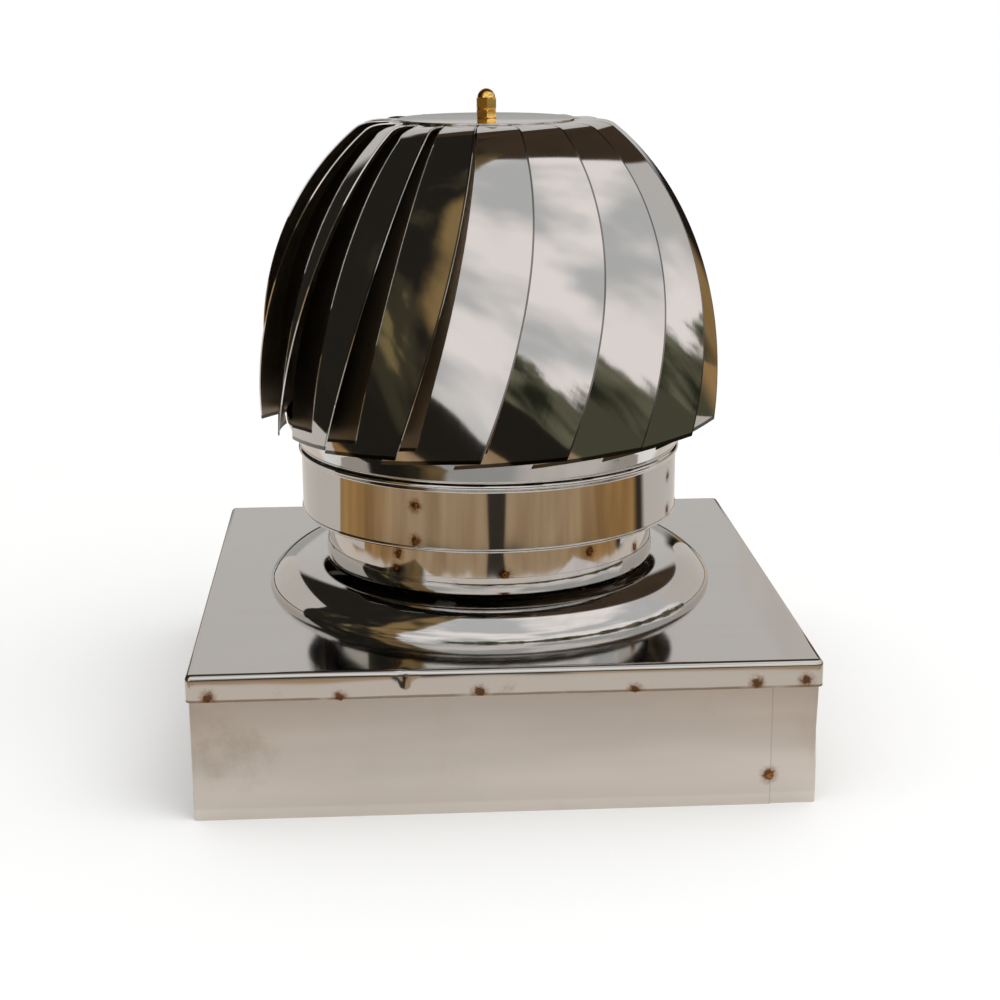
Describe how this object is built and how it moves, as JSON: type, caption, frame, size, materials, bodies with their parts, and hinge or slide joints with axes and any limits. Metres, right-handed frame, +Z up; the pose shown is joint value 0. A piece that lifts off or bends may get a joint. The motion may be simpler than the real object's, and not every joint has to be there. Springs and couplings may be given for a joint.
{
  "type": "rotating chimney cowl",
  "caption": "Onion-dome chimney cowl of polished stainless steel: a head of twisted overlapping blades turns on a spindle above a short neck and a square, folded base.",
  "frame": {"origin": "middle of the square base at its lower edge", "axes": "+Z up along the spindle, -Y towards the front wall that carries the skirt's lapped seam, +X to the right seen from the front"},
  "size_m": [0.4, 0.4, 0.4428],
  "materials": {
    "satin_steel": "satin rolled stainless sheet, smudged",
    "lid_steel": "half-bright stainless sheet",
    "polished_steel": "bright annealed, mirror-polished stainless sheet",
    "plain_steel": "plain mill-finished stainless bar and strip",
    "brass": "bright turned brass",
    "bush_bronze": "dull sintered bronze"
  },
  "bodies": {
    "base": {"base_skirt": "satin_steel", "base_lid": "lid_steel", "flare_collar": "polished_steel", "neck_tube": "polished_steel", "bearing_housing": "plain_steel", "upper_bush": "bush_bronze", "lower_bush": "bush_bronze", "neck_arm_1": "plain_steel", "neck_arm_2": "plain_steel", "neck_arm_3": "plain_steel", "neck_arm_4": "plain_steel"},
    "rotor": {"spindle": "plain_steel", "retaining_nut": "plain_steel", "ring_spider": "plain_steel", "hub_collar": "plain_steel", "skirt_ring": "polished_steel", "blade_01": "polished_steel", "blade_02": "polished_steel", "blade_03": "polished_steel", "blade_04": "polished_steel", "blade_05": "polished_steel", "blade_06": "polished_steel", "blade_07": "polished_steel", "blade_08": "polished_steel", "blade_09": "polished_steel", "blade_10": "polished_steel", "blade_11": "polished_steel", "blade_12": "polished_steel", "blade_13": "polished_steel", "blade_14": "polished_steel", "blade_15": "polished_steel", "blade_16": "polished_steel", "blade_17": "polished_steel", "blade_18": "polished_steel", "crown_disc": "polished_steel", "backing_washer": "plain_steel", "lock_nut": "brass", "cap_nut": "brass"}
  },
  "joints": [
    {"name": "rotor_spin", "type": "hinge", "parent": "base", "child": "rotor", "pos_m": [0, 0, 0.14], "axis": [0, 0, 1], "continuous": true}
  ]
}
